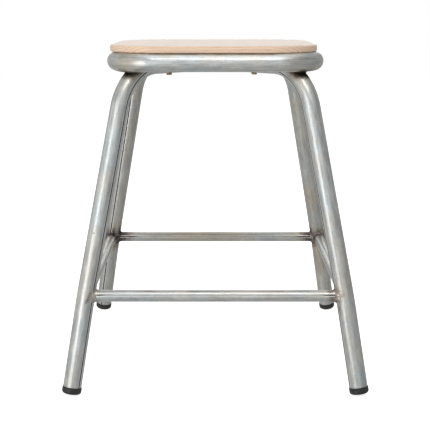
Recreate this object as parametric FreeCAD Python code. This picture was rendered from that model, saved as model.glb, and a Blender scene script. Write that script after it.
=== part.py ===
"""Low stool with a footrest: bent steel tube legs, a tube seat ring and a wooden seat board.

Millimetres. +Z is up, -Y is the front, and the origin is on the floor at the middle of the stool.
Every leg leans outwards along its own diagonal of the square plan. At the top it bends over and
runs level to the middle, below the seat board. The seat ring lies on the four bends.
"""
import FreeCAD
import Part
import math
import os

Vector = FreeCAD.Vector

# Steel tube
TUBE_RADIUS = 12.5
TUBE_WALL = 1.5
STRETCHER_RADIUS = 8.0
STRETCHER_WALL = 1.2

# Frame. The weld shrinkage at the stretchers sets the legs a little steeper below them.
STRETCHER_HEIGHT = 133.5
STRETCHER_REACH = 175.8
LEG_SLOPE_BELOW = 0.158
LEG_SLOPE_ABOVE = 0.184
LEG_SET_RADIUS = 600.0
LEG_BEND_RADIUS = 71.0
RUN_HEIGHT = 438.8
RING_HALF_WIDTH = 149.4
RING_BEND_RADIUS = 54.0
RING_SEAT_DEPTH = 0.3

# Seat board
BOARD_HALF_WIDTH = 143.5
BOARD_CORNER_RADIUS = 70.0
BOARD_THICKNESS = 9.5
BOARD_TOP_ROUNDING = 2.6
BOARD_BOTTOM_ROUNDING = 2.4
BOARD_OFFSET_X = -2.5

# Rubber foot plugs: a head below the tube and a ribbed stem inside it
PLUG_RADIUS = 13.2
PLUG_HEAD_HEIGHT = 9.0
PLUG_ROUNDING = 3.5
PLUG_SHOULDER_ROUNDING = 0.5
PLUG_WORN_DEPTH = 0.4
PLUG_STEM_RADIUS = 9.4
PLUG_STEM_LENGTH = 17.0
PLUG_RIB_HEIGHT = 1.5
PLUG_RIB_COUNT = 3

# Seat screws, driven up through the level tubes
SCREW_LEFT_X = -65.0
SCREW_RIGHT_X = 55.0
SCREW_RADIUS = 2.0
SCREW_HEAD_RADIUS = 3.9
SCREW_HEAD_HEIGHT = 2.5
SCREW_HEAD_ROUNDING = 1.3
SCREW_BITE = 6.5
SCREW_TIP_LENGTH = 3.0
SCREW_HOLE_RADIUS = 2.3
RECESS_LENGTH = 4.4
RECESS_WIDTH = 1.1
RECESS_DEPTH = 1.6

# Diagonal directions of the four legs, named by corner
CORNERS = {
    "front_left": (-1, -1),
    "front_right": (1, -1),
    "back_left": (-1, 1),
    "back_right": (1, 1),
}

# Values that follow from the sizes above. "rho" is a distance from the middle along a diagonal.
LEAN_BELOW = math.atan(LEG_SLOPE_BELOW * math.sqrt(2))
LEAN_ABOVE = math.atan(LEG_SLOPE_ABOVE * math.sqrt(2))
STRETCHER_RHO = STRETCHER_REACH * math.sqrt(2)
BEND_CENTRE_Z = RUN_HEIGHT - LEG_BEND_RADIUS
BEND_START_Z = BEND_CENTRE_Z + LEG_BEND_RADIUS * math.sin(LEAN_ABOVE)
BEND_START_RHO = STRETCHER_RHO - (BEND_START_Z - STRETCHER_HEIGHT) * math.tan(LEAN_ABOVE)
BEND_CENTRE_RHO = BEND_START_RHO - LEG_BEND_RADIUS * math.cos(LEAN_ABOVE)
UP = Vector(0, 0, 1)


def diagonal_point(corner, rho, z):
    """Point at distance rho from the middle, on the corner's diagonal."""
    side_x, side_y = CORNERS[corner]
    return Vector(side_x * rho / math.sqrt(2), side_y * rho / math.sqrt(2), z)


def leg_direction(corner, lean):
    """Unit vector up a straight stretch of a leg that leans outwards by the given angle."""
    return diagonal_point(corner, -math.sin(lean), math.cos(lean))


def bend_point(corner, angle):
    """Point on the top bend's centre line; angle is 0 at the side and a right angle at the top."""
    rho = BEND_CENTRE_RHO + LEG_BEND_RADIUS * math.cos(angle)
    z = BEND_CENTRE_Z + LEG_BEND_RADIUS * math.sin(angle)
    return diagonal_point(corner, rho, z)


def plug_bottom_centre(corner):
    """Centre of a foot plug's lower face, which puts the plug's inner edge just below the floor."""
    flat_radius = PLUG_RADIUS - PLUG_ROUNDING
    edge_drop = flat_radius * math.sin(LEAN_BELOW) + PLUG_ROUNDING * (1 - math.cos(LEAN_BELOW))
    z = edge_drop - PLUG_WORN_DEPTH
    rho = STRETCHER_RHO + (STRETCHER_HEIGHT - z) * math.tan(LEAN_BELOW)
    return diagonal_point(corner, rho, z)


def leg_foot(corner):
    """Lower end of a leg tube, on the shoulder of its plug."""
    return plug_bottom_centre(corner) + leg_direction(corner, LEAN_BELOW) * PLUG_HEAD_HEIGHT


def leg_edges(corner):
    """Centre line of a leg: lower straight, slight set at the stretchers, upper straight, top bend."""
    half_set = (LEAN_ABOVE - LEAN_BELOW) / 2
    knee = diagonal_point(corner, STRETCHER_RHO, STRETCHER_HEIGHT)
    tangent_length = LEG_SET_RADIUS * math.tan(half_set)
    set_start = knee - leg_direction(corner, LEAN_BELOW) * tangent_length
    set_end = knee + leg_direction(corner, LEAN_ABOVE) * tangent_length
    inwards = leg_direction(corner, LEAN_BELOW + half_set + math.pi / 2)
    set_middle = knee + inwards * LEG_SET_RADIUS * (1 / math.cos(half_set) - 1)
    bend_start = bend_point(corner, LEAN_ABOVE)
    bend_middle = bend_point(corner, (LEAN_ABOVE + math.pi / 2) / 2)
    bend_end = bend_point(corner, math.pi / 2)
    curves = [
        Part.LineSegment(leg_foot(corner), set_start),
        Part.Arc(set_start, set_middle, set_end),
        Part.LineSegment(set_end, bend_start),
        Part.Arc(bend_start, bend_middle, bend_end),
    ]
    return [curve.toShape() for curve in curves]


def sweep_round(path, start, direction, radius):
    """Solid round bar along a path."""
    profile = Part.Wire(Part.makeCircle(radius, start, direction))
    return path.makePipeShell([profile], True, False)


def bow_path():
    """One centre line from the front right foot over to the back left foot."""
    first = leg_edges("front_right")
    second = leg_edges("back_left")
    run = Part.LineSegment(bend_point("front_right", math.pi / 2), bend_point("back_left", math.pi / 2))
    return Part.Wire(first + [run.toShape()] + second[::-1])


def single_leg_path(corner):
    """Centre line of a single leg, up to the middle of the stool."""
    run = Part.LineSegment(bend_point(corner, math.pi / 2), Vector(0, 0, RUN_HEIGHT))
    return Part.Wire(leg_edges(corner) + [run.toShape()])


def leg_bar(path, corner, radius):
    """Solid bar along a leg's centre line."""
    return sweep_round(path, leg_foot(corner), leg_direction(corner, LEAN_BELOW), radius)


def rounded_square(half_width, corner_radius, z, offset_x=0.0):
    """Closed wire of four straight sides and four corner arcs."""
    inner = half_width - corner_radius
    edges = []
    for quarter in range(4):
        turn = quarter * math.pi / 2
        centre = Vector(*turned(inner, inner, turn), z)
        start = centre + Vector(*turned(corner_radius, 0, turn), 0)
        middle = centre + Vector(*turned(corner_radius, 0, turn + math.pi / 4), 0)
        end = centre + Vector(*turned(0, corner_radius, turn), 0)
        next_start = Vector(*turned(-inner, half_width, turn), z)
        edges.append(Part.Arc(start, middle, end).toShape())
        edges.append(Part.LineSegment(end, next_start).toShape())
    wire = Part.Wire(edges)
    wire.translate(Vector(offset_x, 0, 0))
    return wire


def turned(x, y, angle):
    """A plan point turned about the origin."""
    return (
        x * math.cos(angle) - y * math.sin(angle),
        x * math.sin(angle) + y * math.cos(angle),
    )


def ring_height():
    """Height of the ring's centre line, where it rests in shallow seats on the leg bends."""
    centre_half_width = RING_HALF_WIDTH - TUBE_RADIUS
    ring_rho = centre_half_width * math.sqrt(2) - RING_BEND_RADIUS * (math.sqrt(2) - 1)
    reach = LEG_BEND_RADIUS + 2 * TUBE_RADIUS - RING_SEAT_DEPTH
    return BEND_CENTRE_Z + math.sqrt(reach ** 2 - (ring_rho - BEND_CENTRE_RHO) ** 2)


def make_ring_bar(radius):
    """Solid bar along the seat ring's centre line."""
    half_width = RING_HALF_WIDTH - TUBE_RADIUS
    z = ring_height()
    path = rounded_square(half_width, RING_BEND_RADIUS, z)
    start = Vector(half_width, half_width - RING_BEND_RADIUS, z)
    return sweep_round(path, start, Vector(0, 1, 0), radius)


def make_board():
    """Seat board with rounded edges, lying on top of the ring."""
    underside = ring_height() + TUBE_RADIUS
    outline = rounded_square(BOARD_HALF_WIDTH, BOARD_CORNER_RADIUS, underside, BOARD_OFFSET_X)
    board = Part.Face(outline).extrude(UP * BOARD_THICKNESS)
    top = [edge for edge in board.Edges if edge.BoundBox.ZMin > underside + BOARD_THICKNESS / 2]
    board = board.makeFillet(BOARD_TOP_ROUNDING, top)
    bottom = [edge for edge in board.Edges if edge.BoundBox.ZMax < underside + BOARD_BOTTOM_ROUNDING]
    return board.makeFillet(BOARD_BOTTOM_ROUNDING, bottom)


def make_stretcher(start, end, leg_bars):
    """Hollow stretcher tube whose ends are coped to fit the legs."""
    direction = end - start
    outer = Part.makeCylinder(STRETCHER_RADIUS, direction.Length, start, direction)
    inner = Part.makeCylinder(STRETCHER_RADIUS - STRETCHER_WALL, direction.Length, start, direction)
    tube = outer.cut(inner)
    return largest_solid(tube.cut(leg_bars))


def closed_edges(shape):
    """The full-circle edges of a round shape, lowest first."""
    return sorted((edge for edge in shape.Edges if edge.Closed), key=lambda edge: edge.CenterOfMass.z)


def make_foot_plug(corner):
    """Rubber plug: rounded head, worn flat where it meets the floor, and a ribbed stem in the tube."""
    centre = plug_bottom_centre(corner)
    axis = leg_direction(corner, LEAN_BELOW)
    head = Part.makeCylinder(PLUG_RADIUS, PLUG_HEAD_HEIGHT, centre, axis)
    head = head.makeFillet(PLUG_ROUNDING, closed_edges(head)[:1])
    head = head.makeFillet(PLUG_SHOULDER_ROUNDING, closed_edges(head)[-1:])
    shoulder = leg_foot(corner)
    pieces = [Part.makeCylinder(PLUG_STEM_RADIUS, PLUG_STEM_LENGTH, shoulder, axis)]
    for rib in range(1, PLUG_RIB_COUNT + 1):
        base = shoulder + axis * (rib * PLUG_STEM_LENGTH / (PLUG_RIB_COUNT + 1))
        pieces.append(Part.makeCylinder(TUBE_RADIUS - TUBE_WALL, PLUG_RIB_HEIGHT, base, axis))
    size = 4 * PLUG_RADIUS
    below_floor = Part.makeBox(size, size, size, Vector(centre.x - size / 2, centre.y - size / 2, -size))
    return head.fuse(pieces).cut(below_floor)


def screw_place(corner):
    """Point on the level tube's axis that a seat screw passes through."""
    side_x, side_y = CORNERS[corner]
    reach = abs(SCREW_LEFT_X) if side_x < 0 else SCREW_RIGHT_X
    return Vector(side_x * reach, side_y * reach, RUN_HEIGHT)


def screw_shaft(corner, radius, top):
    """Round bar up a screw's axis, from under its tube to the given height."""
    bottom = screw_place(corner) - UP * TUBE_RADIUS
    return Part.makeCylinder(radius, top - bottom.z, bottom, UP)


def make_screw(corner):
    """Pan-head screw with a cross recess, a straight shank and a pointed tip."""
    seat = screw_place(corner) - UP * TUBE_RADIUS
    tip_top = ring_height() + TUBE_RADIUS + SCREW_BITE
    tip_bottom = tip_top - SCREW_TIP_LENGTH
    head_base = seat - UP * SCREW_HEAD_HEIGHT
    head = Part.makeCylinder(SCREW_HEAD_RADIUS, SCREW_HEAD_HEIGHT, head_base, UP)
    head = head.makeFillet(SCREW_HEAD_ROUNDING, closed_edges(head)[:1])
    recess = [
        Part.makeBox(length, width, RECESS_DEPTH, head_base - Vector(length / 2, width / 2, 0))
        for length, width in ((RECESS_LENGTH, RECESS_WIDTH), (RECESS_WIDTH, RECESS_LENGTH))
    ]
    shank = screw_shaft(corner, SCREW_RADIUS, tip_bottom)
    tip_base = Vector(seat.x, seat.y, tip_bottom)
    tip = Part.makeCone(SCREW_RADIUS, 0, SCREW_TIP_LENGTH, tip_base, UP)
    screw = head.fuse([shank, tip]).cut(recess)
    return largest_solid(screw.removeSplitter())


def largest_solid(shape):
    """The biggest solid of a shape."""
    return max(shape.Solids, key=lambda solid: solid.Volume)


def export(name, shape):
    """Write one piece to its own STEP file."""
    if not shape.isValid():
        raise ValueError(name + " is not a valid solid")
    shape.exportStep("parts/" + name + ".step")
    print(name, len(shape.Solids), round(shape.Volume))


def main():
    os.makedirs("parts", exist_ok=True)

    bow_bar = leg_bar(bow_path(), "front_right", TUBE_RADIUS)
    bow_bore = leg_bar(bow_path(), "front_right", TUBE_RADIUS - TUBE_WALL)
    leg_bars = {"leg_bow": bow_bar}
    leg_bores = {"leg_bow": bow_bore}
    for corner in ("front_left", "back_right"):
        path = single_leg_path(corner)
        leg_bars["leg_" + corner] = leg_bar(path, corner, TUBE_RADIUS).cut(bow_bar)
        leg_bores["leg_" + corner] = leg_bar(path, corner, TUBE_RADIUS - TUBE_WALL)

    ring_bar = make_ring_bar(TUBE_RADIUS)
    ring_bore = make_ring_bar(TUBE_RADIUS - TUBE_WALL)
    export("seat_ring", ring_bar.cut(ring_bore))

    hole_top = ring_height() + TUBE_RADIUS
    screw_holes = [screw_shaft(corner, SCREW_HOLE_RADIUS, hole_top) for corner in CORNERS]
    for name, bar in leg_bars.items():
        tube = bar.cut([leg_bores[name], ring_bar] + screw_holes)
        export(name, largest_solid(tube))

    reach = STRETCHER_REACH
    height = STRETCHER_HEIGHT
    plan = {
        "front": ((-reach, -reach), (reach, -reach)),
        "back": ((-reach, reach), (reach, reach)),
        "left": ((-reach, -reach), (-reach, reach)),
        "right": ((reach, -reach), (reach, reach)),
    }
    for side, (start, end) in plan.items():
        stretcher = make_stretcher(Vector(*start, height), Vector(*end, height), list(leg_bars.values()))
        export("stretcher_" + side, stretcher)

    board = make_board()
    for corner in CORNERS:
        screw = make_screw(corner)
        board = board.cut(screw)
        export("seat_screw_" + corner, screw)
        export("foot_plug_" + corner, make_foot_plug(corner))
    export("seat_board", board)


main()
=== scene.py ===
"""Looks of the low stool: welded raw steel tube, a pale wooden seat board and black rubber plugs.

Metres, in the frame of the CAD part: +Z up, -Y the front, origin on the floor at the middle.
The tubes and the board are built again here with finer detail and stand for their CAD nodes.
Welds are added: a fillet round both ends of each stretcher, and beads where the tubes meet below
the seat. The plugs and the screws stay CAD nodes with new materials.
"""

import math

import bpy
import numpy as np
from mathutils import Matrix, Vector, noise


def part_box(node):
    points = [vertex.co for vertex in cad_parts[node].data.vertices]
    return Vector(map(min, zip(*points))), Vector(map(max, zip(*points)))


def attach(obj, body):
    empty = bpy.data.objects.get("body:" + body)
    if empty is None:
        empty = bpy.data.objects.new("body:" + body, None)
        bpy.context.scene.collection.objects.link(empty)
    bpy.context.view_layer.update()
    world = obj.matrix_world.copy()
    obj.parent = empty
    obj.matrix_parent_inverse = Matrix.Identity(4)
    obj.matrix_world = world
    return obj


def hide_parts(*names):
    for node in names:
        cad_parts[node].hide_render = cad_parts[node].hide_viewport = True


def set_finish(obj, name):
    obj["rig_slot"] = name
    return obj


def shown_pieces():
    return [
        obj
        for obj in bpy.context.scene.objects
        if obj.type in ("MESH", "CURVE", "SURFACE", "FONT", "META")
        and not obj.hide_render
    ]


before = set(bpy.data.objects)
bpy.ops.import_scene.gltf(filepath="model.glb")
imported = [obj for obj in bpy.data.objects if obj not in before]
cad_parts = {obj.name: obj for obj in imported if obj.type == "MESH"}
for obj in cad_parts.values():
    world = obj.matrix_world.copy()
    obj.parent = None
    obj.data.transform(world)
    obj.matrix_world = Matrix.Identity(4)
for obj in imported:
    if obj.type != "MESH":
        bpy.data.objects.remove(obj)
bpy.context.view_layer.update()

ROOT_2 = math.sqrt(2)
MM = 0.001
FULL_TURN = 2 * math.pi

# ---------------------------------------------------------------- sizes
# Sizes as in the CAD part, where its boxes don't tell them
TUBE_RADIUS = 12.5 * MM
RAIL_RADIUS = 8.0 * MM
LEAN_BELOW = math.atan(0.158 * ROOT_2)
LEAN_ABOVE = math.atan(0.184 * ROOT_2)
SET_RADIUS = 600 * MM
BEND_RADIUS = 71 * MM
RING_BEND_RADIUS = 54 * MM
BOARD_CORNER_RADIUS = 70 * MM
BOARD_TOP_ROUNDING = 2.6 * MM
BOARD_BOTTOM_ROUNDING = 2.4 * MM

# Places read from the CAD nodes
ring_low, ring_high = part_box("seat_ring")
RING_HEIGHT = (ring_high.z + ring_low.z) / 2
RING_REACH = ring_high.x - TUBE_RADIUS
leg_low, leg_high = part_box("leg_bow")
RUN_HEIGHT = leg_high.z - TUBE_RADIUS
FOOT_HEIGHT = leg_low.z + TUBE_RADIUS * math.sin(LEAN_BELOW)
rail_low, rail_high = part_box("stretcher_front")
RAIL_REACH = -(rail_low.y + rail_high.y) / 2
RAIL_HEIGHT = (rail_low.z + rail_high.z) / 2
board_low, board_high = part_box("seat_board")

CORNERS = {
    "front_left": (-1, -1),
    "front_right": (1, -1),
    "back_left": (-1, 1),
    "back_right": (1, 1),
}
# The two legs that each stretcher joins
RAILS = {
    "front": ("front_left", "front_right"),
    "back": ("back_right", "back_left"),
    "left": ("back_left", "front_left"),
    "right": ("front_right", "back_right"),
}

# Places on a corner's diagonal: RHO is a distance out from the stool's axis, and Z a height
BEND_CENTRE_Z = RUN_HEIGHT - BEND_RADIUS
BEND_START_Z = BEND_CENTRE_Z + BEND_RADIUS * math.sin(LEAN_ABOVE)
RAIL_RHO = RAIL_REACH * ROOT_2
BEND_START_RHO = RAIL_RHO - (BEND_START_Z - RAIL_HEIGHT) * math.tan(LEAN_ABOVE)
BEND_CENTRE_RHO = BEND_START_RHO - BEND_RADIUS * math.cos(LEAN_ABOVE)
RING_CORNER_RHO = RING_REACH * ROOT_2 - RING_BEND_RADIUS * (ROOT_2 - 1)

# ---------------------------------------------------------------- marks on the steel
# How far each stretcher weld's heat spread along the steel, and how strong its colours are
RAIL_HEAT = {
    ("front", "front_left"): (12 * MM, 0.48),
    ("front", "front_right"): (14 * MM, 0.72),
    ("back", "back_left"): (20 * MM, 1.20),
    ("back", "back_right"): (17 * MM, 1.15),
    ("left", "front_left"): (11 * MM, 0.60),
    ("left", "back_left"): (18 * MM, 1.15),
    ("right", "front_right"): (12 * MM, 0.75),
    ("right", "back_right"): (14 * MM, 1.05),
}
# The same for the welds under the seat, then how far their black patch of soot and painted shade
# under the ring spreads and how black it is
SEAT_HEAT = {
    "front_left": (15 * MM, 0.72, 21 * MM, 0.92),
    "front_right": (16 * MM, 0.82, 18 * MM, 1.10),
    "back_left": (15 * MM, 0.75, 14 * MM, 0.9),
    "back_right": (15 * MM, 0.75, 14 * MM, 0.9),
}
# Middle of each black patch of soot and painted shade under the ring: outwards and down from its
# weld, and how high the patch reaches
SOOT_AND_SHADE_OUT, SOOT_AND_SHADE_DOWN, SOOT_AND_SHADE_HEIGHT = 5 * MM, 2 * MM, 10 * MM
# A thin stain all over the back of the frame: strength, the depth over which it comes in, and the
# height below which it does
BACK_STAIN, BACK_STAIN_DEPTH = 0.30, 120 * MM
BACK_STAIN_TOP, BACK_STAIN_FADE = 450 * MM, 100 * MM
# Stained places: point, reach and strength
STAINS = (
    ((-0.125, -0.138, 0.446), 13 * MM, 0.75),
    ((0.147, -0.120, 0.441), 16 * MM, 0.35),
    ((0.176, 0.174, 0.095), 32 * MM, 1.0),
    ((0.150, 0.150, 0.200), 40 * MM, 0.7),
    ((-0.030, 0.170, 0.134), 95 * MM, 0.85),
    ((-0.120, 0.135, 0.330), 30 * MM, 0.80),
    ((-0.125, 0.128, 0.385), 22 * MM, 0.75),
    ((0.118, 0.128, 0.365), 25 * MM, 0.75),
)
# Small burns beside the front welds and weld spatter on the legs: point, reach and strength
BURNS = (
    ((-0.1690, -0.1865, 0.1388), 2.0 * MM, 1.0),
    ((-0.1712, -0.1870, 0.1345), 2.8 * MM, 0.80),
    ((-0.1735, -0.1880, 0.1283), 1.8 * MM, 1.0),
    ((0.171, -0.1890, 0.1405), 2.6 * MM, 0.95),
    ((0.176, -0.1880, 0.1270), 2.2 * MM, 0.90),
    ((0.1655, -0.1860, 0.1170), 4.0 * MM, 0.70),
    ((-0.1634, -0.1722, 0.219), 1.3 * MM, 1.3),
    ((-0.1770, -0.1720, 0.231), 1.0 * MM, 1.1),
    ((0.1808, -0.1745, 0.1695), 1.4 * MM, 1.4),
    ((0.1790, -0.1760, 0.1840), 1.2 * MM, 1.3),
    ((0.1840, -0.1770, 0.1550), 1.3 * MM, 1.3),
)


def corner_point(corner, rho, z):
    """A point on a corner's diagonal, rho away from the stool's axis."""
    side_x, side_y = CORNERS[corner]
    return np.array((side_x * rho / ROOT_2, side_y * rho / ROOT_2, z))


def seat_contact(corner):
    """Where the seat ring rests on a leg's bend, and the direction from leg to ring there."""
    ring_centre = corner_point(corner, RING_CORNER_RHO, RING_HEIGHT)
    line = ring_centre - corner_point(corner, BEND_CENTRE_RHO, BEND_CENTRE_Z)
    line /= np.linalg.norm(line)
    return ring_centre - line * TUBE_RADIUS, line


def rail_end(side, corner):
    """Where a stretcher's axis about meets a leg's surface, and the direction to the leg."""
    first, last = RAILS[side]
    far = corner_point(last if corner == first else first, RAIL_RHO, RAIL_HEIGHT)
    near = corner_point(corner, RAIL_RHO, RAIL_HEIGHT)
    direction = (near - far) / np.linalg.norm(near - far)
    return near - direction * TUBE_RADIUS, direction


def weld_marks(verts, soot_and_shade_share=1.0):
    """Heat, soot with painted shade under the seat ring, and stain at each vertex, by its distance
    from the welds and stained places.
    """
    heat, soot_and_shade = np.zeros(len(verts)), np.zeros(len(verts))

    def near(point, reach):
        return np.exp(-(((verts - point) / reach) ** 2).sum(axis=1))

    for (side, corner), (reach, strength) in RAIL_HEAT.items():
        heat = np.maximum(heat, strength * near(rail_end(side, corner)[0], reach))
    for corner, (reach, strength, soot_and_shade_reach, black) in SEAT_HEAT.items():
        contact, _ = seat_contact(corner)
        heat = np.maximum(heat, strength * near(contact, reach))
        # a black patch just below where the ring rests on each leg: weld soot and painted shade
        # under the ring
        patch = contact + corner_point(corner, SOOT_AND_SHADE_OUT, -SOOT_AND_SHADE_DOWN)
        cloud = near(patch, np.array((soot_and_shade_reach, soot_and_shade_reach, SOOT_AND_SHADE_HEIGHT)))
        soot_and_shade = np.maximum(soot_and_shade, soot_and_shade_share * black * cloud)
    for point, reach, strength in BURNS:
        heat = np.maximum(heat, strength * near(np.array(point), reach))
    behind = np.clip(verts[:, 1] / BACK_STAIN_DEPTH, 0, 1)
    below = np.clip((BACK_STAIN_TOP - verts[:, 2]) / BACK_STAIN_FADE, 0, 1)
    stain = BACK_STAIN * (behind * below)
    for point, reach, strength in STAINS:
        stain = np.maximum(stain, strength * near(np.array(point), reach))
    return {"scorch": heat, "soot_and_shade": soot_and_shade, "stain": stain}


# ---------------------------------------------------------------- meshes
SHARP_ANGLE = math.radians(38)


def new_object(name, verts, faces, slot, nodes=(), uvs=None, marks=None):
    """A smooth-shaded mesh that rides on the frame. uvs holds one pair for each face corner.

    marks holds one array of numbers, one for each vertex, by the name the materials read it by.
    """
    mesh = bpy.data.meshes.new(name)
    mesh.from_pydata([tuple(v) for v in verts], [], faces)
    for key, values in (marks or {}).items():
        mesh.attributes.new(key, "FLOAT", "POINT").data.foreach_set("value", values)
    if uvs is not None:
        layer = mesh.uv_layers.new(name="tube")
        layer.data.foreach_set("uv", np.asarray(uvs, np.float32).ravel())
    mesh.validate()
    mesh.update()
    if sum(face.center.dot(face.normal) * face.area for face in mesh.polygons) < 0:
        mesh.flip_normals()
    for polygon in mesh.polygons:
        polygon.use_smooth = True
    mesh.set_sharp_from_angle(angle=SHARP_ANGLE)
    piece = bpy.data.objects.new(name, mesh)
    bpy.context.scene.collection.objects.link(piece)
    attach(piece, "root")
    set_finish(piece, slot)
    if nodes:
        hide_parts(*nodes)


def loft(name, grid, slot, nodes=(), uv=None, closed_path=False, caps=True, marks=None):
    """Mesh of a tube-like grid of points, stations by columns. The columns always close."""
    stations, columns = grid.shape[:2]
    verts = grid.reshape(-1, 3)
    faces = []
    uvs = []
    spans = stations if closed_path else stations - 1
    for i in range(spans):
        nxt = (i + 1) % stations
        for j in range(columns):
            k = (j + 1) % columns
            faces.append((i * columns + j, i * columns + k, nxt * columns + k, nxt * columns + j))
            if uv is not None:
                uvs += [uv(i, j), uv(i, j + 1), uv(i + 1, j + 1), uv(i + 1, j)]
    if caps and not closed_path:
        faces.append(tuple(range(columns))[::-1])
        faces.append(tuple((stations - 1) * columns + j for j in range(columns)))
        if uv is not None:
            uvs += [uv(0, j) for j in range(columns)][::-1]
            uvs += [uv(stations - 1, j) for j in range(columns)]
    new_object(name, verts, faces, slot, nodes, uvs if uv is not None else None, marks)


# A tube's seam, a narrow groove between two low lips: distance from its middle and height of the
# surface there, in millimetres
SEAM_RELIEF = ((0.0, -0.34), (0.4, -0.30), (0.8, -0.04), (1.3, 0.12), (1.9, 0.05), (2.6, 0.0))
# Share of the legs' seam that shows on the stretchers
FAINT_SEAM = 0.3


def seam_columns(radius, count=60):
    """Angles of a tube's columns from its seam, closest there, and the seam's relief at each."""
    near = [(distance * MM / radius, height * MM) for distance, height in SEAM_RELIEF]
    edge = near[-1][0]
    plain = np.linspace(edge, FULL_TURN - edge, count)[1:-1]
    angles = [a for a, _ in near] + list(plain) + [FULL_TURN - a for a, _ in near[:0:-1]]
    heights = [h for _, h in near] + [0.0] * len(plain) + [h for _, h in near[:0:-1]]
    return np.array(angles), np.array(heights)


# Unevenness of a tube's radius: its most, and about how often it changes in a metre
WAVER_HEIGHT, WAVERS_PER_METRE = 0.07 * MM, 16


def waver(centre, angle):
    """Slow unevenness of a tube's radius, which makes its reflections wander a little."""
    x, y, z = centre * WAVERS_PER_METRE
    return WAVER_HEIGHT * noise.noise(Vector((x + math.cos(angle), y + math.sin(angle), z)))


def tube(name, path, stations, radius, seam, slot, nodes, trim=None, relief=None, closed=False,
         soot_and_shade=1.0):
    """Outer skin of a round tube along a path.

    path(s) gives the centre, the in-plane normal and the binormal. trim(s, angles) moves each
    column along the path, to cope an end. relief(s, angle) changes the radius. soot_and_shade is
    the share of the seat welds' black patch, soot and painted shade, that this tube takes.
    """
    angles, heights = seam_columns(radius)
    if radius < TUBE_RADIUS:
        heights = heights * FAINT_SEAM
    turned = angles + seam
    grid = np.zeros((len(stations), len(angles), 3))
    lengths = np.zeros((len(stations), len(angles)))
    for i, s in enumerate(stations):
        along = np.full(len(angles), s) if trim is None else trim(s, turned)
        lengths[i] = along
        for j, angle in enumerate(turned):
            centre, normal, binormal = path(along[j])
            r = radius + heights[j] + waver(centre, angle)
            if relief is not None:
                r += relief(along[j], angle)
            grid[i, j] = centre + r * (math.cos(angle) * normal + math.sin(angle) * binormal)
    round_it = np.append(angles, FULL_TURN) * radius

    def uv(i, j):
        if i == len(stations):
            return (stations[-1] + (stations[1] - stations[0]), round_it[j])
        return (lengths[i, j % len(angles)], round_it[j])

    marks = weld_marks(grid.reshape(-1, 3), soot_and_shade)
    loft(name, grid, slot, nodes, uv, closed_path=closed, caps=not closed, marks=marks)


# ---------------------------------------------------------------- leg paths
HALF_SET = (LEAN_ABOVE - LEAN_BELOW) / 2
SET_TANGENT = SET_RADIUS * math.tan(HALF_SET)

# Lengths of a leg's five stretches, from the foot: straight, set, straight, bend, level run
FOOT_TO_SET = (RAIL_HEIGHT - FOOT_HEIGHT) / math.cos(LEAN_BELOW) - SET_TANGENT
SET_LENGTH = SET_RADIUS * 2 * HALF_SET
SET_TO_BEND = (BEND_START_Z - RAIL_HEIGHT) / math.cos(LEAN_ABOVE) - SET_TANGENT
BEND_LENGTH = BEND_RADIUS * (math.pi / 2 - LEAN_ABOVE)
RUN_LENGTH = BEND_CENTRE_RHO
# Lengths from the foot to where the set, upper straight, bend and run start, and to the middle
S_SET = FOOT_TO_SET
S_ABOVE = S_SET + SET_LENGTH
S_BEND = S_ABOVE + SET_TO_BEND
S_RUN = S_BEND + BEND_LENGTH
S_MIDDLE = S_RUN + RUN_LENGTH
FOOT_RHO = RAIL_RHO + (RAIL_HEIGHT - FOOT_HEIGHT) * math.tan(LEAN_BELOW)


def along(lean):
    """Unit vector up a leg that leans outwards by an angle, as (rho, z)."""
    return np.array((-math.sin(lean), math.cos(lean)))


def leg_profile(s):
    """Centre (rho, z) and lean of a leg at length s from its foot."""
    foot = np.array((FOOT_RHO, FOOT_HEIGHT))
    if s <= S_SET:
        return foot + along(LEAN_BELOW) * s, LEAN_BELOW
    knee = np.array((RAIL_RHO, RAIL_HEIGHT))
    if s <= S_ABOVE:
        lean = LEAN_BELOW + (s - S_SET) / SET_RADIUS
        start = knee - along(LEAN_BELOW) * SET_TANGENT
        first, here = (np.array((math.cos(a), math.sin(a))) for a in (LEAN_BELOW, lean))
        return start + SET_RADIUS * (here - first), lean
    if s <= S_BEND:
        return knee + along(LEAN_ABOVE) * (s - S_ABOVE + SET_TANGENT), LEAN_ABOVE
    if s <= S_RUN:
        lean = LEAN_ABOVE + (s - S_BEND) / BEND_RADIUS
        centre = np.array((BEND_CENTRE_RHO, BEND_CENTRE_Z))
        return centre + BEND_RADIUS * np.array((math.cos(lean), math.sin(lean))), lean
    return np.array((BEND_CENTRE_RHO - (s - S_RUN), RUN_HEIGHT)), math.pi / 2


def leg_path(corner):
    """Path function of a leg: centre, in-plane outward normal and horizontal binormal."""
    side_x, side_y = CORNERS[corner]
    outward = np.array((side_x, side_y, 0)) / ROOT_2
    binormal = np.array((-side_y, side_x, 0)) / ROOT_2

    def path(s):
        (rho, z), lean = leg_profile(s)
        centre = outward * rho + np.array((0, 0, z))
        normal = outward * math.cos(lean) + np.array((0, 0, math.sin(lean)))
        return centre, normal, binormal

    return path


def bow_path(s):
    """Path of the tube that makes the front right and the back left leg."""
    if s <= S_MIDDLE:
        return leg_path("front_right")(s)
    centre, normal, binormal = leg_path("back_left")(2 * S_MIDDLE - s)
    return centre, normal, -binormal


END_CHAMFER = 0.7 * MM
# How much a bend is flattened on its inner side only and on both, and where: the share of the
# bend's length either side of its middle
INNER_FLATTENING, BOTH_FLATTENING = 0.5 * MM, 0.25 * MM
FLATTENED_SHARE = 0.62
# Length over which a half leg's rings of points come to follow its coped end
COPE_SPREAD = 30 * MM
# Where each leg's seam runs, in degrees round the tube from its outer side
LEG_SEAM = {"bow": -117, "front_left": 97.5, "back_right": 35}


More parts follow.
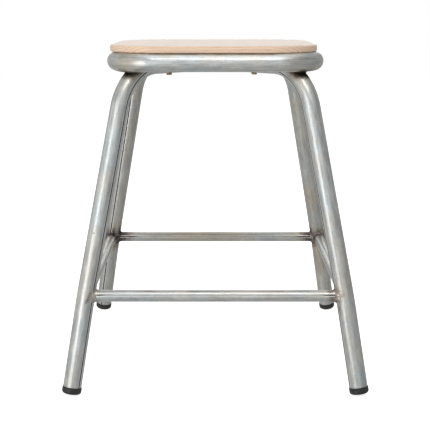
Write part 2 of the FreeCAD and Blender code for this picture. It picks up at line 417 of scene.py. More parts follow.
def leg_stations(step=3 * MM, bend_step=2 * MM):
    """Lengths along a leg at which its tube has a ring of points."""
    parts = [
        np.array((0, END_CHAMFER / 2)),
        np.linspace(END_CHAMFER, S_SET, round(S_SET / step)),
        np.linspace(S_SET, S_ABOVE, 6)[1:],
        np.linspace(S_ABOVE, S_BEND, round(SET_TO_BEND / step))[1:],
        np.linspace(S_BEND, S_RUN, round(BEND_LENGTH / bend_step))[1:],
        np.linspace(S_RUN, S_MIDDLE, round(RUN_LENGTH / step))[1:],
    ]
    return np.concatenate(parts)


def leg_relief(s, angle):
    """Radius change of a leg: its deburred foot end, and a bend that flattens a little."""
    middle = (S_BEND + S_RUN) / 2
    if s > S_MIDDLE:
        s = 2 * S_MIDDLE - s
    if s < END_CHAMFER:
        return s - END_CHAMFER
    reach = (s - middle) / (BEND_LENGTH * FLATTENED_SHARE)
    if abs(reach) >= 1:
        return 0.0
    strength = math.cos(reach * math.pi / 2) ** 2
    inside = max(0.0, -math.cos(angle))
    return -strength * (INNER_FLATTENING * inside ** 2 + BOTH_FLATTENING * math.cos(angle) ** 2)


def cope_middle(s, angles):
    """Ends a half leg on the tube that crosses it at the middle of the stool."""
    start = S_MIDDLE - COPE_SPREAD
    if s <= start:
        return np.full(len(angles), s)
    share = (s - start) / (S_MIDDLE - start)
    inset = 0.4 * MM
    end = S_MIDDLE - np.maximum(TUBE_RADIUS * np.abs(np.sin(angles)) - inset, 0)
    return start + share * (end - start)


def make_legs():
    """The three leg tubes with their seams."""
    stations = leg_stations()
    both = np.concatenate((stations, (2 * S_MIDDLE - stations[:-1])[::-1]))
    seam = math.radians(LEG_SEAM["bow"])
    tube("leg_bow_skin", bow_path, both, TUBE_RADIUS, seam, "tube_steel",
         ["leg_bow"], relief=leg_relief)
    for corner in ("front_left", "back_right"):
        seam = math.radians(LEG_SEAM[corner])
        tube("leg_" + corner + "_skin", leg_path(corner), stations, TUBE_RADIUS, seam,
             "tube_steel", ["leg_" + corner], trim=cope_middle, relief=leg_relief)


# ---------------------------------------------------------------- ring, rails, board


def rounded_square_point(s, reach, corner_radius):
    """Point and outward direction at length s round a rounded square.

    s starts at the middle of the right side and runs anticlockwise, seen from above.
    """
    flat = 2 * (reach - corner_radius)
    arc = corner_radius * math.pi / 2
    s = (s + flat / 2) % (4 * (flat + arc))
    quarter, rest = divmod(s, flat + arc)
    turn = quarter * math.pi / 2
    if rest <= flat:
        x, y, angle = reach, rest - flat / 2, 0.0
    else:
        angle = (rest - flat) / corner_radius
        x = reach - corner_radius + corner_radius * math.cos(angle)
        y = flat / 2 + corner_radius * math.sin(angle)
    c, d = math.cos(turn), math.sin(turn)
    point = np.array((x * c - y * d, x * d + y * c))
    return point, np.array((math.cos(angle + turn), math.sin(angle + turn)))


def ring_path(s):
    """Path of the seat ring: centre, outward normal and up."""
    point, out = rounded_square_point(s, RING_REACH, RING_BEND_RADIUS)
    return np.array((*point, RING_HEIGHT)), np.array((*out, 0.0)), np.array((0.0, 0.0, 1.0))


# How far the ring's bent corners swell downwards; the front left one is the worst
CORNER_SWELL = {
    "front_left": 1.3 * MM,
    "front_right": 0.4 * MM,
    "back_left": 0.5 * MM,
    "back_right": 0.5 * MM,
}
CORNER_FLATTENING, CORNER_REACH = 0.35 * MM, 26 * MM
# Where the ring's seam runs, in degrees up from its outer side, and its share of the soot and
# painted shade
RING_SEAM, RING_SOOT_AND_SHADE = 170, 0.5


def ring_relief(s, angle):
    """Radius change of the ring: its bent corners flatten outwards and swell downwards."""
    point, _ = rounded_square_point(s, RING_REACH, RING_BEND_RADIUS)
    change = 0.0
    for corner, swell in CORNER_SWELL.items():
        middle = corner_point(corner, RING_CORNER_RHO, 0)[:2]
        share = math.exp(-((np.linalg.norm(point - middle) / CORNER_REACH) ** 2))
        change += share * swell * max(0.0, -math.sin(angle)) ** 2
        change -= share * CORNER_FLATTENING * max(0.0, math.cos(angle)) ** 2
    return change


def make_ring():
    """The seat ring with its seam on the inner side."""
    length = 8 * (RING_REACH - RING_BEND_RADIUS) + FULL_TURN * RING_BEND_RADIUS
    stations = np.linspace(0, length, 288, endpoint=False)
    tube("seat_ring_skin", ring_path, stations, TUBE_RADIUS, math.radians(RING_SEAM), "tube_steel",
         ["seat_ring"], relief=ring_relief, closed=True, soot_and_shade=RING_SOOT_AND_SHADE)


def leg_axis(corner):
    """A point on the leg's axis at the rails, and the axis direction there."""
    side_x, side_y = CORNERS[corner]
    lean = LEAN_BELOW + HALF_SET
    outward = np.array((side_x, side_y, 0)) / ROOT_2
    point = np.array((side_x * RAIL_REACH, side_y * RAIL_REACH, RAIL_HEIGHT))
    shift = -outward * SET_RADIUS * (1 / math.cos(HALF_SET) - 1)
    return point + shift, -outward * math.sin(lean) + np.array((0, 0, math.cos(lean)))


def reach_leg(point, direction, corner, radius=TUBE_RADIUS):
    """Distance from a point along a direction to the near side of a leg's surface."""
    origin, axis = leg_axis(corner)
    offset = point - origin
    a = direction - axis * direction.dot(axis)
    b = offset - axis * offset.dot(axis)
    p, q, r = a.dot(a), 2 * a.dot(b), b.dot(b) - radius ** 2
    return (-q - math.sqrt(max(q * q - 4 * p * r, 0))) / (2 * p)


# Direction of each stretcher's seam, in degrees up from the side that across points to
RAIL_SEAM = {"front": 156, "back": 12, "left": 20, "right": 20}
# How far a stretcher's ends go into the legs' surface, so that no gap shows
RAIL_BITE = 0.3 * MM


def make_rails():
    """Four stretchers, their ends coped to the legs."""
    up = np.array((0.0, 0.0, 1.0))
    for side, (first, last) in RAILS.items():
        start = np.array((*(c * RAIL_REACH for c in CORNERS[first]), RAIL_HEIGHT))
        end = np.array((*(c * RAIL_REACH for c in CORNERS[last]), RAIL_HEIGHT))
        length = np.linalg.norm(end - start)
        direction = (end - start) / length
        across = np.cross(up, direction)

        def path(s, start=start, direction=direction, across=across):
            return start + direction * s, across, up

        def trim(s, angles):
            share = s / length
            out = []
            for angle in angles:
                rim = RAIL_RADIUS * (math.cos(angle) * across + math.sin(angle) * up)
                middle = (start + end) / 2 + rim
                low = length / 2 - reach_leg(middle, -direction, first) - RAIL_BITE
                high = length / 2 + reach_leg(middle, direction, last) + RAIL_BITE
                out.append(low + share * (high - low))
            return np.array(out)

        stations = np.linspace(0, length, 110)
        tube("rail_" + side + "_skin", path, stations, RAIL_RADIUS, math.radians(RAIL_SEAM[side]),
             "stretcher_steel", ["stretcher_" + side], trim=trim)


def arc_steps(count, start, end):
    """Cosine and sine at even steps from one angle to another, in degrees, both ends included."""
    for step in range(count + 1):
        angle = math.radians(start + (end - start) * step / count)
        yield math.cos(angle), math.sin(angle)


def make_board():
    """Seat board: closed loops from the middle of the underside round the edge to the top's."""
    reach = (board_high.x - board_low.x) / 2
    middle_x = (board_high.x + board_low.x) / 2
    low, high = board_low.z, board_high.z
    top_round, low_round = BOARD_TOP_ROUNDING, BOARD_BOTTOM_ROUNDING
    # loops nearer the edge than this keep its shape, and the rest shrink towards the middle
    rim = 6 * MM
    shares = (0.06, 0.2, 0.35, 0.5, 0.65, 0.8, 0.9, 1.0)
    flat = [share * (reach - rim) for share in shares]
    loops = [(size, low) for size in flat] + [(reach - 3 * MM, low)]
    for c, s in arc_steps(7, -90, 0):
        loops.append((reach - low_round * (1 - c), low + low_round * (1 + s)))
    side = high - top_round - low - low_round
    loops += [(reach, low + low_round + side * k / 5) for k in range(1, 5)]
    for c, s in arc_steps(8, 0, 90):
        loops.append((reach - top_round * (1 - c), high - top_round * (1 - s)))
    loops += [(reach - 4 * MM, high)] + [(size, high) for size in flat[::-1]]
    columns = 240
    outline = 8 * (reach - BOARD_CORNER_RADIUS) + FULL_TURN * BOARD_CORNER_RADIUS
    grid = np.zeros((len(loops), columns, 3))
    for j in range(columns):
        point, out = rounded_square_point(outline * j / columns, reach, BOARD_CORNER_RADIUS)
        for i, (size, z) in enumerate(loops):
            if size >= reach - rim:
                place = point - out * (reach - size)
            else:
                place = (point - out * rim) * size / (reach - rim)
            grid[i, j] = (place[0] + middle_x, place[1], z)
    loft("seat_board_wood", grid, "wood", ["seat_board"])


make_legs()
make_ring()
make_rails()
make_board()

# ---------------------------------------------------------------- welds
# Length of one ripple of a bead, and about how many lumps it has in a metre
BEAD_RIPPLE, LUMPS_PER_METRE = 2.6 * MM, 260


def bead(name, points, outs, ups, radius, seed, lump):
    """A closed, rippled weld bead. outs and ups span the bead's cross section at each point."""
    count = len(points)
    around = 14
    length = sum(np.linalg.norm(points[i] - points[i - 1]) for i in range(count))
    ripples = max(6, round(length / BEAD_RIPPLE))
    grid = np.zeros((count, around, 3))
    for i in range(count):
        t = i / count
        x, y, z = points[i] * LUMPS_PER_METRE
        spot = noise.noise(Vector((x, y, z + seed)))
        ripple = abs(math.sin(t * ripples * math.pi + seed))
        swell = radius * (1 + lump * 2.2 * spot + 0.10 * (ripple - 0.6))
        for j in range(around):
            angle = FULL_TURN * j / around
            round_it = (seed + math.cos(angle) * 1.5, math.sin(angle) * 1.5)
            bump = noise.noise(Vector((*round_it, t * 30)))
            r = swell * (1 + lump * bump)
            grid[i, j] = points[i] + r * (math.cos(angle) * outs[i] + math.sin(angle) * ups[i])
    loft(name, grid, "tube_steel", closed_path=True, marks=weld_marks(grid.reshape(-1, 3)))


def unit(v):
    return v / np.linalg.norm(v)


def on_leg(point, corner):
    """The nearest point to a point on a leg's surface at the stretchers."""
    origin, axis = leg_axis(corner)
    along_axis = axis * (point - origin).dot(axis)
    away = unit(point - origin - along_axis)
    return origin + along_axis + away * TUBE_RADIUS, away


def bent_curve(start, corner, end, count=8):
    """Points along a curve that leaves its start and meets its end in line with the corner."""
    for k in range(count + 1):
        t = k / count
        yield start * (1 - t) ** 2 + corner * 2 * t * (1 - t) + end * t ** 2


# Depth of a weld's hidden skirt and core below the steel's surface, and of its visible toes
SKIRT, CORE, TOE = 0.5 * MM, 0.9 * MM, 0.05 * MM
# How far a stretcher's weld bulges without its lumps, and the height of its ripples
BULGE, RIPPLE = 0.25 * MM, 0.16 * MM


def rail_weld(side, corner, seed, rail_toe, leg_toe, lump):
    """Weld round a stretcher's end. It fills the corner between its toes on stretcher and leg."""
    _, direction = rail_end(side, corner)
    up = np.array((0.0, 0.0, 1.0))
    across = np.cross(up, direction)
    middle = corner_point(corner, RAIL_RHO, RAIL_HEIGHT) - direction * RAIL_REACH
    count, rows = 108, []
    for i in range(count):
        angle = FULL_TURN * i / count
        rim = math.cos(angle) * across + math.sin(angle) * up
        base = middle + rim * RAIL_RADIUS
        hit = base + direction * reach_leg(base, direction, corner)
        _, leg_normal = on_leg(hit, corner)
        spot = noise.noise(Vector((math.cos(angle) * 2.2, math.sin(angle) * 2.2, seed)))
        fine = noise.noise(Vector((math.cos(angle) * 7, math.sin(angle) * 7, seed)))
        ripple = abs(math.sin(angle * 9 + seed + spot))
        bulge = BULGE + lump * (spot + 0.8 * fine) + RIPPLE * ripple
        rail_foot = hit - direction * rail_toe * (1 + 0.35 * spot + 0.15 * fine)
        outward = unit(rim - leg_normal * rim.dot(leg_normal))
        leg_foot, foot_normal = on_leg(hit + outward * leg_toe * (1 - 0.35 * spot), corner)
        top = hit + unit(rim + leg_normal) * bulge
        row = [leg_foot - foot_normal * SKIRT]
        row += bent_curve(leg_foot - foot_normal * TOE, top, rail_foot - rim * TOE)
        row += [rail_foot - rim * SKIRT, hit - unit(rim + leg_normal) * CORE]
        rows.append(row)
    grid = np.array(rows)
    loft("weld_" + side + "_" + corner, grid, "stretcher_steel", closed_path=True,
         marks=weld_marks(grid.reshape(-1, 3)))


# How far each stretcher weld reaches along the stretcher and the leg, and how lumpy it is
RAIL_WELDS = {
    ("front", "front_left"): (5.5 * MM, 2.6 * MM, 0.15 * MM),
    ("front", "front_right"): (5.0 * MM, 3.4 * MM, 0.75 * MM),
    ("back", "back_left"): (4.5 * MM, 3.6 * MM, 0.80 * MM),
    ("back", "back_right"): (4.0 * MM, 3.0 * MM, 0.55 * MM),
    ("left", "front_left"): (4.0 * MM, 2.6 * MM, 0.30 * MM),
    ("left", "back_left"): (4.0 * MM, 3.2 * MM, 0.60 * MM),
    ("right", "front_right"): (4.0 * MM, 3.2 * MM, 0.60 * MM),
    ("right", "back_right"): (4.0 * MM, 3.0 * MM, 0.55 * MM),
}

# Every weld has its own seed, this much more than the one before
SEED_STEP = 7.3
seed = 3.0
for (side, corner), (rail_toe, leg_toe, lump) in RAIL_WELDS.items():
    rail_weld(side, corner, seed, rail_toe, leg_toe, lump)
    seed += SEED_STEP

# Half sizes of the beads' ovals under the seat, along the leg and along the ring, and thickness
BEAD_ALONG_LEG, BEAD_ALONG_RING, SEAT_BEAD_RADIUS = 6.2 * MM, 7.5 * MM, 2.0 * MM
MIDDLE_BEAD_RADIUS = 1.7 * MM


def seat_bead(corner, seed):
    """Bead in the gap round the point where the seat ring rests on a leg's bend."""
    side_x, side_y = CORNERS[corner]
    tangent = np.array((-side_y, side_x, 0)) / ROOT_2
    contact, line = seat_contact(corner)
    slope = np.cross(tangent, line)
    count = 72
    points, outs, ups = [], [], []
    for i in range(count):
        angle = FULL_TURN * i / count
        a, b = BEAD_ALONG_LEG * math.cos(angle), BEAD_ALONG_RING * math.sin(angle)
        flat = contact + slope * a + tangent * b
        # the mid-height between the two curved surfaces here
        ring_side = TUBE_RADIUS - math.sqrt(TUBE_RADIUS ** 2 - a * a)
        leg_side = TUBE_RADIUS - math.sqrt(TUBE_RADIUS ** 2 - b * b)
        points.append(flat + line * (ring_side - leg_side) / 2)
        out = unit(slope * math.cos(angle) + tangent * math.sin(angle))
        outs.append(out)
        ups.append(line)
    bead("weld_seat_" + corner, points, outs, ups, SEAT_BEAD_RADIUS, seed, lump=0.2)


for corner in CORNERS:
    seat_bead(corner, seed)
    seed += SEED_STEP


def middle_bead(sign, seed):
    """Bead round the coped end of a half leg on the tube that crosses it."""
    outward = np.array((sign, sign, 0)) / ROOT_2
    sideways = np.array((-sign, sign, 0)) / ROOT_2
    up = np.array((0.0, 0.0, 1.0))
    centre = np.array((0, 0, RUN_HEIGHT))
    points, outs, ups = [], [], []
    count = 110
    for i in range(count):
        angle = FULL_TURN * i / count
        rim = math.cos(angle) * up + math.sin(angle) * sideways
        cross = TUBE_RADIUS * abs(math.sin(angle))
        hit = centre + rim * TUBE_RADIUS + outward * max(cross, 1.2 * MM)
        cross_normal = unit(up * math.cos(angle) * TUBE_RADIUS + outward * max(cross, 1 * MM))
        bisector = unit(rim + cross_normal)
        points.append(hit - bisector * 0.3 * MM)
        outs.append(bisector)
        side = np.cross(bisector, unit(np.cross(rim, outward)))
        ups.append(unit(side))
    name = "weld_middle_front" if sign < 0 else "weld_middle_back"
    bead(name, points, outs, ups, MIDDLE_BEAD_RADIUS, seed, lump=0.14)


middle_bead(-1, seed)
middle_bead(1, seed + SEED_STEP)

# ---------------------------------------------------------------- materials


class Shader:
    """A Principled material, with short ways to add nodes to it."""

    def __init__(self, name, **fixed):
        self.material = bpy.data.materials.new(name)
        self.material.use_nodes = True
        self.nodes = self.material.node_tree.nodes
        self.links = self.material.node_tree.links
        self.surface = self.nodes["Principled BSDF"]
        for socket, value in fixed.items():
            self.surface.inputs[socket.replace("_", " ")].default_value = value

    def add(self, kind, **settings):
        node = self.nodes.new(kind)
        for key, value in settings.items():
            setattr(node, key, value)
        return node

    def feed(self, socket, value):
        """Joins an output to a socket, or sets a plain value on it."""
        if isinstance(value, bpy.types.NodeSocket):
            self.links.new(value, socket)
        elif isinstance(value, tuple) and len(value) == 3 and socket.type == "RGBA":
            socket.default_value = (*value, 1)
        else:
            socket.default_value = value

    def place(self):
        return self.add("ShaderNodeTexCoord").outputs["Object"]

    def mark(self, name):
        """A number stored at the mesh's points."""
        return self.add("ShaderNodeAttribute", attribute_name=name).outputs["Fac"]

    def split(self, vector):
        node = self.add("ShaderNodeSeparateXYZ")
        self.feed(node.inputs[0], vector)
        return node.outputs

    def vector(self, x, y, z=0.0):
        node = self.add("ShaderNodeCombineXYZ")
        for socket, value in zip(node.inputs, (x, y, z)):
            self.feed(socket, value)
        return node.outputs[0]

    def stretch(self, vector, scales):
        node = self.add("ShaderNodeVectorMath", operation="MULTIPLY")
        self.feed(node.inputs[0], vector)
        self.feed(node.inputs[1], scales)
        return node.outputs[0]

    def math(self, operation, first, second=0.0, third=0.0):
        node = self.add("ShaderNodeMath", operation=operation)
        for socket, value in zip(node.inputs, (first, second, third)):
            self.feed(socket, value)
        return node.outputs[0]

    def times(self, *values):
        result = values[0]
        for value in values[1:]:
            result = self.math("MULTIPLY", result, value)
        return result

    def plus(self, *values):
        result = values[0]
        for value in values[1:]:
            result = self.math("ADD", result, value)
        return result

    def spread(self, value, low, high, to_low=0.0, to_high=1.0):
        """Smooth step of a value from one range to another."""
        node = self.add("ShaderNodeMapRange", interpolation_type="SMOOTHSTEP")
        for socket, number in zip(node.inputs, (value, low, high, to_low, to_high)):
            self.feed(socket, number)
        return node.outputs[0]

    def noise(self, place, scale, detail=3.0, roughness=0.5, distortion=0.0):
        node = self.add("ShaderNodeTexNoise")
        for key, value in (("Vector", place), ("Scale", scale), ("Detail", detail),
                           ("Roughness", roughness), ("Distortion", distortion)):
            self.feed(node.inputs[key], value)
        return node.outputs["Fac"]

    def blend(self, share, first, second, mode="MIX"):
        node = self.add("ShaderNodeMix", data_type="RGBA", blend_type=mode)
        self.feed(node.inputs[0], share)
        self.feed(node.inputs[6], first)
        self.feed(node.inputs[7], second)
        return node.outputs[2]

    def ramp(self, value, stops):
        node = self.add("ShaderNodeValToRGB")
        self.feed(node.inputs[0], value)
        elements = node.color_ramp.elements
        while len(elements) < len(stops):
            elements.new(1.0)
        for element, (position, colour) in zip(elements, stops):
            element.position = position
            element.color = (*colour, 1)
        return node.outputs[0]

    def grey(self, value):
        return self.vector(value, value, value)

    def bump(self, height, strength=1.0):
        """Relief from a height in metres."""
        node = self.add("ShaderNodeBump")
        self.feed(node.inputs["Strength"], strength)
        self.feed(node.inputs["Distance"], 1.0)
        self.feed(node.inputs["Height"], height)
        self.feed(self.surface.inputs["Normal"], node.outputs[0])

    def finish(self, colour, roughness):
        self.feed(self.surface.inputs["Base Color"], colour)
        self.feed(self.surface.inputs["Roughness"], roughness)
        return self.material


# Colour that multiplies the steel's, from no heat to the most
HEAT_TINTS = (
    (0.0, (1.0, 1.0, 1.0)),
    (0.16, (0.99, 0.97, 0.925)),
    (0.32, (0.80, 0.72, 0.65)),
    (0.50, (0.54, 0.46, 0.43)),
    (0.66, (0.42, 0.37, 0.38)),
    (0.82, (0.30, 0.25, 0.24)),
    (1.0, (0.15, 0.12, 0.11)),
)


def heated(s, colour, place, cloud):
    """Colours that welding leaves on the steel: straw, brown and violet, then sooty scale; also a
    near-black patch of soot and painted shade under the seat ring.
    """
    patchy = s.noise(place, 170.0, 4.0, 0.65, 1.2)
    heat = s.times(s.mark("scorch"), s.spread(patchy, 0.30, 0.68, 0.45, 1.45))
    heat = s.times(heat, s.spread(cloud, 0.3, 0.7, 0.8, 1.15))
    tint = s.ramp(heat, HEAT_TINTS)
    colour = s.blend(1.0, colour, tint, "MULTIPLY")
    # near-black patch of soot and painted shade just below the seat ring
    soot_and_shade = s.spread(s.times(s.mark("soot_and_shade"), s.plus(0.55, patchy)), 0.18, 0.85)
    return s.blend(soot_and_shade, colour, (0.042, 0.032, 0.022)), heat, soot_and_shade


def tube_steel(name, radius, seam_share):
    """Raw tube: cloudy cool and warm tones, streaks along it, a dark seam with a painted highlight
    on its lips, heat tints, and soot with painted shade under the seat ring.

    seam_share is how dark the seam is away from the welds, where it is always dark.
    """
    s = Shader(name, Metallic=1.0)
    length, around, _ = s.split(s.add("ShaderNodeUVMap", uv_map="tube").outputs[0])
    place = s.place()
    streak = s.noise(s.vector(s.times(length, 9.0), s.times(around, 620.0)), 1.0, 4.0, 0.6)
    scratch = s.noise(s.vector(s.times(length, 26.0), s.times(around, 2600.0), 7.0), 1.0, 2.0, 0.5)
    cloud = s.noise(place, 26.0, 4.0, 0.6, 0.6)
    fleck = s.noise(place, 150.0, 4.0, 0.7)
    wear = s.noise(s.vector(s.times(length, 30.0), s.times(around, 120.0), 3.0), 1.0, 4.0, 0.65)

    cool, warm, rust = (0.575, 0.608, 0.612), (0.625, 0.610, 0.575), (0.53, 0.455, 0.36)
    colour = s.blend(s.spread(cloud, 0.36, 0.62), cool, warm)
    stain = s.times(s.mark("stain"), s.spread(wear, 0.3, 0.7, 0.45, 1.1))
    colour = s.blend(stain, colour, rust)
    smear = s.noise(s.vector(s.times(length, 42.0), s.times(around, 210.0), 11.0), 1.0, 3.0, 0.6)
    tone = s.plus(0.48, s.times(s.spread(streak, 0.3, 0.7), 0.22), s.times(fleck, 0.30),
                  s.times(s.spread(wear, 0.3, 0.7), 0.16),
                  s.times(s.spread(smear, 0.3, 0.7), 0.20))
    colour = s.blend(1.0, colour, s.grey(tone), "MULTIPLY")
    speck = s.spread(s.noise(place, 560.0, 2.0, 0.5), 0.68, 0.75)
    colour = s.blend(s.times(speck, 0.6), colour, (0.14, 0.12, 0.10))

    seam = s.math("MINIMUM", around, s.math("SUBTRACT", FULL_TURN * radius, around))
    ragged = s.noise(s.vector(s.times(length, 130.0), 5.0), 1.0, 3.0, 0.6)
    seam = s.plus(seam, s.times(s.spread(ragged, 0.3, 0.7, -0.12, 0.12), MM))
    dark = s.spread(seam, 0.60 * MM, 1.25 * MM, 1.0, 0.0)
    dark = s.times(dark, s.plus(0.85, s.times(ragged, 0.25)))
    lip_highlight = s.times(s.spread(seam, 0.9 * MM, 1.3 * MM), s.spread(seam, 1.7 * MM, 2.4 * MM, 1.0, 0.0))
    colour, heat, soot_and_shade = heated(s, colour, place, cloud)
    strength = s.spread(s.mark("scorch"), 0.02, 0.25, seam_share, 1.0)
    dark, lip_highlight = s.times(dark, strength), s.times(lip_highlight, strength)
    # painted highlight: a paler band on the lips either side of the seam
    colour = s.blend(s.times(lip_highlight, 0.75), colour, (0.90, 0.90, 0.88))
    colour = s.blend(dark, colour, (0.03, 0.027, 0.025))

    rough = s.plus(0.22, s.times(cloud, 0.12), s.times(s.spread(wear, 0.3, 0.7), 0.12),
                   s.times(s.spread(smear, 0.3, 0.7), 0.10), s.times(streak, 0.06))
    rough = s.plus(rough, s.times(s.spread(heat, 0.2, 1.0), 0.10), s.times(soot_and_shade, 0.25))
    rough = s.plus(rough, s.times(dark, 0.2), s.times(lip_highlight, -0.10))
    relief = s.plus(s.times(streak, 0.022 * MM), s.times(scratch, 0.006 * MM),
                    s.times(fleck, 0.018 * MM), s.times(smear, 0.03 * MM))
    s.bump(relief)
    return s.finish(colour, rough)


def weld_steel():
    """Weld metal: darker and browner than the tube, with fine ripples and spatter."""
    s = Shader("weld_steel", Metallic=1.0)
    place = s.place()
    cloud = s.noise(place, 60.0, 3.0, 0.6, 0.5)
    grit = s.noise(place, 520.0, 4.0, 0.65)
    colour = s.blend(s.spread(cloud, 0.35, 0.65), (0.60, 0.60, 0.60), (0.56, 0.52, 0.48))
    colour = s.blend(1.0, colour, s.grey(s.plus(0.50, s.times(grit, 0.8))), "MULTIPLY")
    colour, _, soot_and_shade = heated(s, colour, place, cloud)
    rough = s.plus(0.20, s.times(grit, 0.28), s.times(soot_and_shade, 0.2))
    s.bump(s.times(grit, 0.16 * MM))
    return s.finish(colour, rough)


def pale_wood():
    """Pale, open-grained hardwood in edge-glued staves along X, under a thin satin lacquer."""
    s = Shader("pale_wood", Metallic=0.0, Coat_Weight=0.15, Coat_Roughness=0.3)
    place = s.place()
    x, y, z = s.split(place)
    stave_width, first_stave = 62 * MM, 310 * MM
    stave = s.math("FLOOR", s.math("DIVIDE", s.plus(y, first_stave), stave_width))
    toss = s.add("ShaderNodeTexWhiteNoise", noise_dimensions="1D")
    s.feed(toss.inputs["W"], stave)
    red, green, blue = s.split(toss.outputs["Color"])

    # distance from a pith line that runs nearly along X, different for each stave
    pith_aside, pith_height = 50 * MM, 425 * MM
    bend = s.noise(s.vector(s.times(x, 7.0), s.times(y, 9.0), s.times(red, 40.0)), 1.0, 2.0, 0.5)
    across = s.math("MODULO", s.plus(y, first_stave), stave_width)
    off_y = s.plus(across, s.times(red, pith_aside), -pith_aside)
    off_y = s.plus(off_y, s.times(x, s.plus(s.times(green, 0.02), -0.01)), s.times(bend, 0.008))
    off_z = s.plus(z, -pith_height)
    off_z = s.plus(off_z, s.times(blue, 0.02), s.times(x, 0.004), s.times(bend, 0.004))
    distance = s.math("SQRT", s.plus(s.times(off_y, off_y), s.times(off_z, off_z)))
    ripple = s.noise(s.stretch(place, (14.0, 160.0, 160.0)), 1.0, 2.0, 0.5)
    ring_width = 3.4 * MM
    ring = s.math("FRACT", s.times(s.plus(distance, s.times(ripple, 1.6 * MM)), 1 / ring_width))
    early = s.times(s.spread(ring, 0.0, 0.12), s.spread(ring, 0.12, 0.75, 1.0, 0.0))

    pores = s.noise(s.stretch(place, (90.0, 1900.0, 1900.0)), 1.0, 2.0, 0.5)
    pore = s.times(s.spread(pores, 0.58, 0.68), s.plus(0.25, s.times(early, 0.75)))
    fibre = s.noise(s.stretch(place, (30.0, 900.0, 900.0)), 1.0, 3.0, 0.6)
    glow = s.noise(s.stretch(place, (9.0, 45.0, 45.0)), 1.0, 3.0, 0.55)

    light, deep = (0.84, 0.64, 0.475), (0.68, 0.45, 0.285)
    colour = s.blend(s.times(early, s.plus(0.45, s.times(glow, 0.6))), light, deep)
    colour = s.blend(s.spread(glow, 0.35, 0.7, 0.0, 0.5), colour, (0.82, 0.57, 0.42))
    colour = s.blend(s.times(pore, 0.65), colour, (0.42, 0.27, 0.16))
    tone = s.plus(0.90, s.times(fibre, 0.16), s.times(green, 0.05))
    colour = s.blend(1.0, colour, s.grey(tone), "MULTIPLY")
    # painted light on the top: faces that point up are painted paler, a painted sheen, then darker
    # and greyer, painted shade against the strong light from above
    _, _, upward = s.split(s.add("ShaderNodeTexCoord").outputs["Normal"])
    painted_top_light = s.spread(upward, 0.75, 0.99)
    colour = s.blend(s.times(painted_top_light, 0.25), colour, (0.80, 0.735, 0.665))
    colour = s.blend(painted_top_light, colour, (0.78, 0.78, 0.79), "MULTIPLY")
    rough = s.plus(0.36, s.times(fibre, 0.16), s.times(pore, 0.15))
    s.bump(s.plus(s.times(pore, -0.05 * MM), s.times(fibre, 0.02 * MM)))
    return s.finish(colour, rough)


def black_rubber():
    """Moulded rubber with a fine grain, paler and duller where it rubs the floor."""
    s = Shader("black_rubber", Metallic=0.0)
    place = s.place()
    _, _, z = s.split(place)
    grain = s.noise(place, 1500.0, 3.0, 0.6)
    cloud = s.noise(place, 120.0, 3.0, 0.6)
    dust = s.times(s.spread(z, 0.5 * MM, 4.5 * MM, 0.75, 0.0), s.spread(cloud, 0.35, 0.65))
    colour = s.blend(s.spread(cloud, 0.3, 0.7), (0.011, 0.010, 0.010), (0.024, 0.022, 0.021))
    colour = s.blend(dust, colour, (0.085, 0.078, 0.068))
    s.bump(s.times(grain, 0.05 * MM))
    return s.finish(colour, s.plus(0.42, s.times(grain, 0.14), s.times(dust, 0.2)))


def dark_brass():
    """Screws: yellow zinc, dulled and stained dark in places."""
    s = Shader("dark_brass", Metallic=1.0)
    place = s.place()
    cloud = s.noise(place, 420.0, 4.0, 0.65)
    fine = s.noise(place, 1900.0, 3.0, 0.6)
    colour = s.blend(s.spread(cloud, 0.35, 0.62), (0.16, 0.09, 0.035), (0.48, 0.34, 0.14))
    colour = s.blend(1.0, colour, s.grey(s.plus(0.75, s.times(fine, 0.4))), "MULTIPLY")
    s.bump(s.times(fine, 0.03 * MM))
    return s.finish(colour, s.plus(0.28, s.times(cloud, 0.25)))


FINISHES = {
    "tube_steel": tube_steel("tube_steel_finish", TUBE_RADIUS, 1.0),
    "stretcher_steel": tube_steel("stretcher_steel_finish", RAIL_RADIUS, FAINT_SEAM),
    "wood": pale_wood(),
    "foot_rubber": black_rubber(),
    "screw_brass": dark_brass(),
}
weld_finish = weld_steel()
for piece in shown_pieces():
    if piece.name.startswith("foot_plug"):
        slot = "foot_rubber"
    elif piece.name.startswith("seat_screw"):
        slot = "screw_brass"
    else:
        slot = piece["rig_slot"]
    finish = weld_finish if piece.name.startswith("weld") else FINISHES[slot]
    piece.data.materials.clear()
    piece.data.materials.append(finish)
    if "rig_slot" not in piece:
        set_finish(piece, slot)

# ---------------------------------------------------------------- camera, stage and light
CAMERA_PLACE = (-0.0005, -1.4463, 0.5152)
# In radians below the level, and in millimetres on a sensor 36 mm wide
CAMERA_TILT, LENS = 0.209, 81.52
FLOOR_RADIUS, FLOOR_HEIGHT = 6, -0.5 * MM


def make_camera():
    """The camera, in front of the stool, a little above its seat and tilted down."""
    data = bpy.data.cameras.new("camera")
    data.lens = LENS
    data.sensor_width = 36.0
    camera = bpy.data.objects.new("camera", data)
    camera.location = CAMERA_PLACE
    camera.rotation_euler = (math.pi / 2 - CAMERA_TILT, 0, 0)
    bpy.context.scene.collection.objects.link(camera)
    bpy.context.scene.camera = camera
    bpy.context.scene.view_settings.view_transform = "Standard"


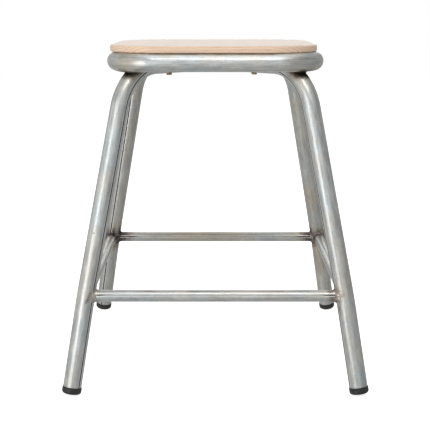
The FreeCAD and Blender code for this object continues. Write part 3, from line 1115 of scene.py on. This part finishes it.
def stage_disc():
    """Plain pale floor, a large flat disc just under the stool."""
    count = 96
    turns = [FULL_TURN * i / count for i in range(count)]
    radius, height = FLOOR_RADIUS, FLOOR_HEIGHT
    verts = [(0, 0, height)]
    verts += [(radius * math.cos(a), radius * math.sin(a), height) for a in turns]
    faces = [(0, 1 + i, 1 + (i + 1) % count) for i in range(count)]
    mesh = bpy.data.meshes.new("floor")
    mesh.from_pydata(verts, [], faces)
    disc = bpy.data.objects.new("floor", mesh)
    bpy.context.scene.collection.objects.link(disc)
    material = bpy.data.materials.new("floor_paint")
    material.use_nodes = True
    shader = material.node_tree.nodes["Principled BSDF"]
    shader.inputs["Base Color"].default_value = (0.9, 0.9, 0.9, 1)
    shader.inputs["Roughness"].default_value = 1.0
    shader.inputs["Specular IOR Level"].default_value = 0.0
    shader.inputs["Emission Color"].default_value = (1, 1, 1, 1)
    shader.inputs["Emission Strength"].default_value = 0.75
    mesh.materials.append(material)
    disc.visible_glossy = False
    disc.visible_diffuse = False


# Brightness of the room's left and right side, and the directions' X between which it changes
ROOM_LEFT, ROOM_RIGHT = 0.62, 0.44
ROOM_FADE = (-0.3, 0.9)
# Softboxes: place, target, width, height, brightness seen in a mirror
SOFTBOXES = {
    "front_top": ((0.09, -0.98, 1.56), (0, 0, 0.3), 0.70, 0.50, 4.2),
    "front_middle": ((0.12, -1.38, 1.10), (0, 0, 0.3), 0.60, 0.50, 0.7),
    "front_low": ((0, -1.60, 0.36), (0, 0, 0.3), 0.90, 0.60, 0.45),
    "overhead": ((0.15, -0.05, 2.0), (0.15, -0.04, 0.3), 1.5, 1.0, 0.95),
    "strip": ((-0.76, -1.13, 0.34), (0, 0, 0.32), 0.45, 1.15, 2.6),
    "back": ((0, 1.62, 0.83), (0, 0, 0.3), 1.2, 0.8, 1.2),
    "inside_left": ((0.55, -1.5, 0.30), (-0.1, 0.15, 0.28), 0.5, 0.5, 0.4),
    "left": ((-1.27, -0.22, 0.48), (0, 0, 0.3), 0.8, 0.6, 0.5),
}


def softbox(name, place, target, width, height, power):
    """A soft rectangular light, aimed at a target."""
    data = bpy.data.lights.new(name, "AREA")
    data.shape = "RECTANGLE"
    data.size, data.size_y = width, height
    data.energy = power
    light = bpy.data.objects.new(name, data)
    light.location = place
    bpy.context.scene.collection.objects.link(light)
    light.rotation_euler = (Vector(target) - light.location).to_track_quat("-Z", "Y").to_euler()
    light.visible_camera = False


def make_world():
    """Grey surroundings for the metal, dimmer on the right, and white for the camera's rays."""
    world = bpy.data.worlds.new("studio")
    bpy.context.scene.world = world
    world.use_nodes = True
    nodes, links = world.node_tree.nodes, world.node_tree.links
    nodes.clear()
    out = nodes.new("ShaderNodeOutputWorld")
    mix = nodes.new("ShaderNodeMixShader")
    ray = nodes.new("ShaderNodeLightPath")
    room = nodes.new("ShaderNodeBackground")
    white = nodes.new("ShaderNodeBackground")
    direction = nodes.new("ShaderNodeTexCoord")
    across = nodes.new("ShaderNodeSeparateXYZ")
    fade = nodes.new("ShaderNodeMapRange")
    for socket, value in zip(fade.inputs[1:], (*ROOM_FADE, ROOM_LEFT, ROOM_RIGHT)):
        socket.default_value = value
    links.new(direction.outputs["Generated"], across.inputs[0])
    links.new(across.outputs[0], fade.inputs[0])
    links.new(fade.outputs[0], room.inputs["Strength"])
    room.inputs["Color"].default_value = (0.98, 1.0, 1.0, 1)
    links.new(ray.outputs["Is Camera Ray"], mix.inputs["Fac"])
    links.new(room.outputs[0], mix.inputs[1])
    links.new(white.outputs[0], mix.inputs[2])
    links.new(mix.outputs[0], out.inputs["Surface"])
    white.inputs["Color"].default_value = (1, 1, 1, 1)


make_camera()
stage_disc()
make_world()
for name, (place, target, width, height, brightness) in SOFTBOXES.items():
    softbox(name, place, target, width, height, brightness * math.pi * width * height)
